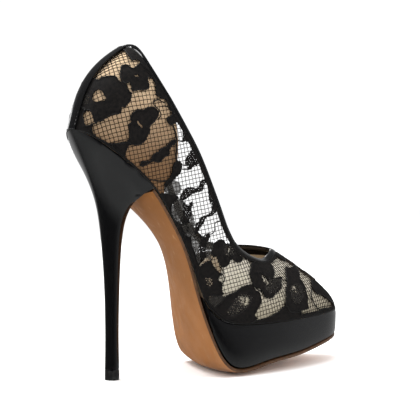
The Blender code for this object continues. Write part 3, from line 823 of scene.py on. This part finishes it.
# the motifs: closed cloth with teeth, thinned to gauze in places
motif = {"thick": 0.4, "level": 0.2, "layer": 0.02, "layers": 5, "fill": 1.4, "edgeStep": 0.4, "teeth": 2.1,
         "toothDepth": 0.5, "toothFoot": 0.6, "ragged": 0.28, "seed": 7, "holePitch": 1.3, "holeShift": 0.25,
         "holeMargin": 0.8, "leafHole": 0.3, "thinHole": 0.42, "speck": 0.74, "holeSpread": (0.5, 1.4),
         "thinOpen": 0.2, "openSpread": (0.5, 1.5)}
openLeaves = ("waistLeafA", "waistLeafB", "waistLeafC", "waistLeafD", "waistBud", "collarBud", "waistStem")
openGauze = {"heelGauze": 0.55, "stemGauze": 0.45, "stemNet": 0.6, "waistGauze": 0.4, "lowGauze": 0.45,
             "ballGauze": 0.3}
band = {"feather": 2.3, "featherBack": 0.5, "widensAt": 0.45, "widensOver": 0.1, "collar": 2.0, "wave": 0.25,
        "over": 1.0, "level": 0.3}
ragged = np.random.default_rng(motif["seed"])
diamond = np.array([(1, 0), (0, 1), (-1, 0), (0, -1)])
sheets, opens, covered = [], [], []
for side in (0, 1):
    for order, (name, outline) in enumerate([*dense.items(), *gauze.items()]):
        loop = smoothLine(outlineOn(side, name, outline), motif["edgeStep"], True)
        loop = scalloped(loop, motif["teeth"], motif["toothDepth"], motif["toothFoot"])
        loop = loop + ragged.normal(0, motif["ragged"] / 2, loop.shape)
        clear = [smoothLine(toSide(hole, side), motif["edgeStep"], True) for hole in holes.values()]
        clear = [hole for hole in clear if inside(hole, loop).all()]
        spots = lattice(loop, motif["holePitch"])
        spots = spots[inside(spots, loop)]
        size = np.full(len(spots), motif["leafHole"] if name in openLeaves else 0.0)
        for areas, hole in ((thin, "thinHole"), (specks, "speck")):
            for area in areas.values():
                size[inside(spots, toSide(area, side))] = motif[hole]
        size *= ragged.uniform(*motif["holeSpread"], len(spots))
        spots = spots + ragged.uniform(-motif["holeShift"], motif["holeShift"], spots.shape)
        clear += [spot + diamond * wide for spot, wide in zip(spots, size)
                  if wide and np.linalg.norm(loop - spot, axis=1).min() > motif["holeMargin"]]
        points, faces = cutSheet(loop, borderLoops[side], clear, motif["fill"])
        loose = np.full(len(points), openGauze.get(name, 0.0))
        for area in thin.values():
            loose[inside(points, toSide(area, side))] = max(motif["thinOpen"], openGauze.get(name, 0.0))
        opens.append(loose * ragged.uniform(*motif["openSpread"], len(points)))
        sheets.append((points, faces, motif["level"] + motif["layer"] * (order % motif["layers"])))
        if name in dense:
            covered.append(loop)
    # closed bands along the sole, wider in front, and under the piping
    for first, last, width in (("seamFoot", "toe", "feather"), ("throat", "apex", "collar")):
        line = stretch(side, first, last)
        wide = np.full(len(line), band[width])
        if width == "feather":
            ahead = np.clip((np.linspace(0, 1, len(line)) - band["widensAt"]) / band["widensOver"], 0, 1)
            wide = band["featherBack"] + (band["feather"] - band["featherBack"]) * ahead
        wide = wide + band["wave"] * np.abs(np.sin(np.pi * np.arange(len(line)) / 2.0))
        loop = edgeStrip(line, side, wide, band["over"])
        points, faces = cutSheet(loop, borderLoops[side], [], motif["fill"])
        sheets.append((points, faces, band["level"]))
        opens.append(np.zeros(len(points)))
motifs = sheetPiece("laceMotifs", sheets, motif["thick"], opens)
mount(motifs, "laceMotifs", laceFinish, ["upper"])

# raised thread round every motif, the loose scrolls between them, and a roll along sole and piping
thread = {"rim": 0.26, "inset": 0.3, "rimStep": 0.7, "level": 0.3, "scroll": 0.36, "heavy": 0.55,
          "scrollStep": 0.6, "scrollLevel": 0.2, "welt": 0.42, "piping": 0.38, "rollLevel": 0.0}
lines = []
for side in (0, 1):
    border = borderLoops[side]
    for name, outline in dense.items():
        edge = smoothLine(outlineOn(side, name, outline), thread["rimStep"], True)
        edge = beside(ccw(edge), thread["inset"], True)
        lines += [(run, thread["level"], thread["rim"], closed) for run, closed in runs(edge, border, True)]
    for name, path in cords.items():
        line = smoothLine(toSide(path, side), thread["scrollStep"], False)
        size = thread["heavy"] if name == "liningEdge" else thread["scroll"]
        lines += [(run, thread["scrollLevel"], size, closed) for run, closed in runs(line, border, False)]
    lines.append((stretch(side, "seamFoot", "toe"), thread["rollLevel"], thread["welt"], False))
    lines.append((stretch(side, "throat", "apex"), thread["rollLevel"], thread["piping"], False))
laceThread = rounded(wrap(threadPiece("laceThread", lines)))
mount(laceThread, "laceThread", threadFinish, ["upper"])

# net: square meshes that lean a little, none quite like the next, left out where a motif hides them
net = {"pitch": 2.45, "lean": 10.0, "thread": 0.55, "level": -0.2, "uneven": 0.25, "seed": 4, "touch": 0.01,
       "weld": 0.2}
deselect()
for side in (0, 1):
    low, high = borderLoops[side].min(axis=0), borderLoops[side].max(axis=0)
    meshes = int(np.linalg.norm(high - low) / net["pitch"])
    x, y = (low + high) / 2 * mm
    bpy.ops.mesh.primitive_grid_add(x_subdivisions=meshes, y_subdivisions=meshes,
                                    size=meshes * net["pitch"] * mm)
    half = bpy.context.object
    edit(half)
    bpy.ops.transform.rotate(value=math.radians(net["lean"] * (1 if side else -1)), orient_axis="Z",
                             center_override=(0, 0, 0))
    bpy.ops.transform.translate(value=(x, y, 0))
    bpy.ops.transform.vertex_random(offset=net["uneven"] * mm, seed=net["seed"] + side)
    leave()
    if side:
        laceNet.select_set(True)
        bpy.ops.object.join()
    laceNet = half
mesh = laceNet.data
for vertex in mesh.vertices:
    vertex.co.z = net["level"] * mm
spots = np.array([vertex.co for vertex in mesh.vertices])[:, :2]
hidden = np.zeros(len(spots), bool)
for loop in covered:
    box = (spots / mm > loop.min(axis=0)).all(axis=1) & (spots / mm < loop.max(axis=0)).all(axis=1)
    hidden[box] |= inside(spots[box] / mm, loop)
for side in (0, 1):
    for area in holes.values():
        hidden &= ~inside(spots / mm, toSide(area, side))
touch = net["touch"] * mm
for face in mesh.polygons:
    out = flatTree.find_nearest((face.center.x, face.center.y, 0))[3] > touch
    face.select = out or bool(hidden[list(face.vertices)].all())
# knots that lie off the pattern move to its edge
for vertex, spot in zip(mesh.vertices, spots):
    closest, _, _, gap = flatTree.find_nearest((*spot, 0))
    if gap > touch:
        vertex.co.x, vertex.co.y = closest.x, closest.y
edit(laceNet, every=False)
bpy.ops.mesh.delete(type="FACE")
bpy.ops.mesh.select_all(action="SELECT")
bpy.ops.mesh.remove_doubles(threshold=net["weld"] * mm)
bpy.ops.mesh.delete_loose()
leave()
modifier(laceNet, "WIREFRAME", thickness=net["thread"] * mm, use_boundary=True, use_even_offset=False)
wrap(laceNet)
mount(laceNet, "laceNet", netFinish, ["upper"])

# linings: tan round the heel, cream in the forepart; the waist has none
linings = {
    "counterLining": {
        "cut": [-130, 220, -44, 220, -44, 170, -44.5, 155, -43.5, 144.5, -44.5, 133, -47.5, 125, -51, 119,
                -53.5, 112, -57, 100, -130, 100],
        "finish": tanLining},
    "vampLining": {
        "cut": [0, 95, -2, 84.5, -8.5, 77, -14.5, 67, -19.5, 56, -23.5, 44, -28, 25, 130, 25, 130, 110,
                60, 110],
        "innerCut": [40, 95, 34, 84, 29, 77, 20, 67, 12, 56, 4, 44, -4, 25, 130, 25, 130, 110, 60, 110],
        "finish": creamLining},
}
lining = {"level": -1.0, "thick": 0.35, "fill": 3.0}
for name, part in linings.items():
    cuts = part["cut"], part.get("innerCut", part["cut"])
    sheets = [(*cutSheet(toSide(cuts[side], side), borderLoops[side], [], lining["fill"]), lining["level"])
              for side in (0, 1)]
    sheet = rounded(sheetPiece(name, sheets, lining["thick"]))
    mount(sheet, name, part["finish"], ["upper"])

# a black strip inside the throat along the collar, which darkens the inside seen through it
facing = {"wide": 5.0, "over": 1.0, "level": -1.5, "thick": 0.3, "fill": 3.0, "from": 22.0}
sheets = []
for side in (0, 1):
    line = stretch(side, "throat", "apex")
    line = line[toSide(line, side)[:, 0] > facing["from"]]
    loop = edgeStrip(line, side, facing["wide"], facing["over"])
    sheets.append((*cutSheet(loop, borderLoops[side], [], facing["fill"]), facing["level"]))
throatDarkStrip = sheetPiece("throatDarkStrip", sheets, facing["thick"])
mount(throatDarkStrip, "throatDarkStrip", laceFinish, ["upper"])

# two rows of stitches hold the back strip
stitch = {"long": 1.5, "thick": 0.32, "pitch": 2.3, "fromSeam": 3.7, "level": 1.12, "ends": 2}
deselect()
bpy.ops.mesh.primitive_uv_sphere_add(segments=8, ring_count=6, radius=0.5 * mm)
model = bpy.context.object
shape = np.array([vertex.co for vertex in model.data.vertices])
rings = [list(face.vertices) for face in model.data.polygons]
bpy.data.objects.remove(model)
grown = shape * (stitch["long"], stitch["thick"], stitch["thick"])
points, faces = [], []
for side in (0, 1):
    sign = 1 if side == 0 else -1
    line = beside(stretch(side, "apex", "seamFoot"), sign * stitch["fromSeam"], False)
    line = smoothLine(line[stitch["ends"]:-stitch["ends"]], stitch["pitch"], False)
    for a, b in zip(line, line[1:]):
        along = (b - a) / np.linalg.norm(b - a)
        spun = np.column_stack((grown[:, :2] @ np.array([along, (-along[1], along[0])]), grown[:, 2]))
        faces += [[i + len(points) * len(shape) for i in ring] for ring in rings]
        points.append(spun + np.append((a + b) / 2, stitch["level"]) * mm)
mesh = bpy.data.meshes.new("stripStitches")
mesh.from_pydata([tuple(point) for point in np.vstack(points)], [], faces)
stitches = rounded(wrap(linked("stripStitches", mesh)))
mount(stitches, "stripStitches", stitchPaintedGlintFinish, ["back_strip"])
bpy.data.objects.remove(wall)

# floor, light and camera
stage = {"floor": 6.0, "paper": 0.97, "sky": 1.06, "tent": 2.0, "lens": 107.1, "sensor": 36, "turn": 31.0,
         "height": 0.1226, "back": 0.75, "side": 0.0061}
deselect()
bpy.ops.mesh.primitive_plane_add(size=stage["floor"])
floor = bpy.context.object
floor.name = "floor"
paper = newFinish("paper", (stage["paper"],) * 3, 1.0, gloss=0.0)[0]
floor.data.materials.append(paper)

world = bpy.data.worlds.new("studio")
bpy.context.scene.world = world
world.use_nodes = True
background = world.node_tree.nodes["Background"]
background.inputs["Color"].default_value = (1, 1, 1, 1)
background.inputs["Strength"].default_value = stage["sky"]

# a tent round the set that only the gloss sees: dark to the left and behind the camera, light to the right,
# light below as the paper is
deselect()
bpy.ops.mesh.primitive_uv_sphere_add(segments=64, ring_count=32, radius=stage["tent"])
tent = bpy.context.object
tent.name = "reflectionTent"
for shell in (tent, floor):
    shell.visible_camera = shell is floor
    shell.visible_glossy = shell is tent
    shell.visible_diffuse = shell is floor
    shell.visible_shadow = shell is floor
    shell.visible_transmission = False
tentPaint = bpy.data.materials.new("tentPaint")
tentPaint.use_nodes = True
tree = tentPaint.node_tree
tree.nodes.clear()


def ramp(source, steps):
    made = add(tree, "ValToRGB", {"Fac": source})
    stops = made.color_ramp.elements
    stops[0].position, stops[1].position = steps[0][0], steps[-1][0]
    for spot, _ in steps[1:-1]:
        stops.new(spot)
    for stop, (_, tone) in zip(stops, steps):
        stop.color = (tone, tone, tone, 1)
    return made.outputs["Color"]


# tones by bearing, in turns from -X (the camera stands near 0.16, the toe points to 0.5), then by height
place = add(tree, "TexCoord").outputs["Object"]
bearing = add(tree, "TexGradient", {"Vector": place}, gradient_type="RADIAL").outputs["Fac"]
around = ramp(bearing, [(0.0, 0.02), (0.22, 0.015), (0.30, 0.12), (0.36, 0.32), (0.45, 0.4), (0.56, 0.45),
                        (0.64, 0.6), (0.77, 0.6), (0.81, 0.08), (1.0, 0.03)])
height = add(tree, "SeparateXYZ", {"Vector": place}).outputs["Z"]
rise = add(tree, "MapRange", {"Value": height, "From Min": -stage["tent"], "From Max": stage["tent"]})
below = ramp(rise.outputs["Result"], [(0.0, 1.0), (0.22, 1.0), (0.36, 0.0), (1.0, 0.0)])
above = ramp(rise.outputs["Result"], [(0.0, 0.0), (0.62, 0.0), (0.75, 1.0), (1.0, 1.0)])
tone = blend(tree, below, around, (0.6, 0.61, 0.6))
tone = blend(tree, above, tone, (0.12, 0.12, 0.12))
glow = add(tree, "Emission", {"Color": tone})
add(tree, "OutputMaterial", {"Surface": glow.outputs["Emission"]})
tent.data.materials.append(tentPaint)
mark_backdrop(floor, tent)

# broad lights; those that the gloss sees too draw the bright lines on piping and back strip
lamps = {"overhead": {"spot": (-0.1, -0.1, 0.9), "size": (0.5, 0.25), "power": 4.0, "shine": True},
         "side": {"spot": (0.5, -0.75, 0.5), "size": (0.15, 0.6), "power": 3.0, "shine": False},
         "back": {"spot": (-0.25, 0.5, 0.95), "size": (0.3, 0.3), "power": 7.0, "shine": True},
         "card": {"spot": (0.28, 1.46, 0.34), "size": (1.3, 0.45), "power": 5.0, "shine": True}}
lampAim = Vector((0, 0, 0.06))
for name, part in lamps.items():
    bpy.ops.object.light_add(type="AREA", location=part["spot"])
    lamp = bpy.context.object
    lamp.name = name
    lamp.data.shape = "RECTANGLE"
    lamp.data.size, lamp.data.size_y = part["size"]
    lamp.data.energy = part["power"]
    lamp.visible_glossy = part["shine"]
    lamp.rotation_euler = (lampAim - Vector(part["spot"])).to_track_quat("-Z", "Y").to_euler()

# the camera stands behind the heel's tip, turned towards the outer side, and looks at the shoe's middle
turn = math.radians(stage["turn"])
ahead = Vector((math.sin(turn), math.cos(turn), 0))
across = Vector((math.cos(turn), -math.sin(turn), 0))
tipLow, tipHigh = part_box("top_lift")
spot = Vector(((tipLow[0] + tipHigh[0]) / 2, 0, 0)) - ahead * stage["back"] - across * stage["side"]
spot.z = stage["height"]
low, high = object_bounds()
bpy.ops.object.camera_add(location=spot)
camera = bpy.context.object
camera.rotation_euler = ((low + high) / 2 - spot).to_track_quat("-Z", "Y").to_euler()
camera.data.lens = stage["lens"]
camera.data.sensor_width = stage["sensor"]
bpy.context.scene.camera = camera
bpy.context.scene.view_settings.view_transform = "Standard"
print("stage set")

low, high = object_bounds()
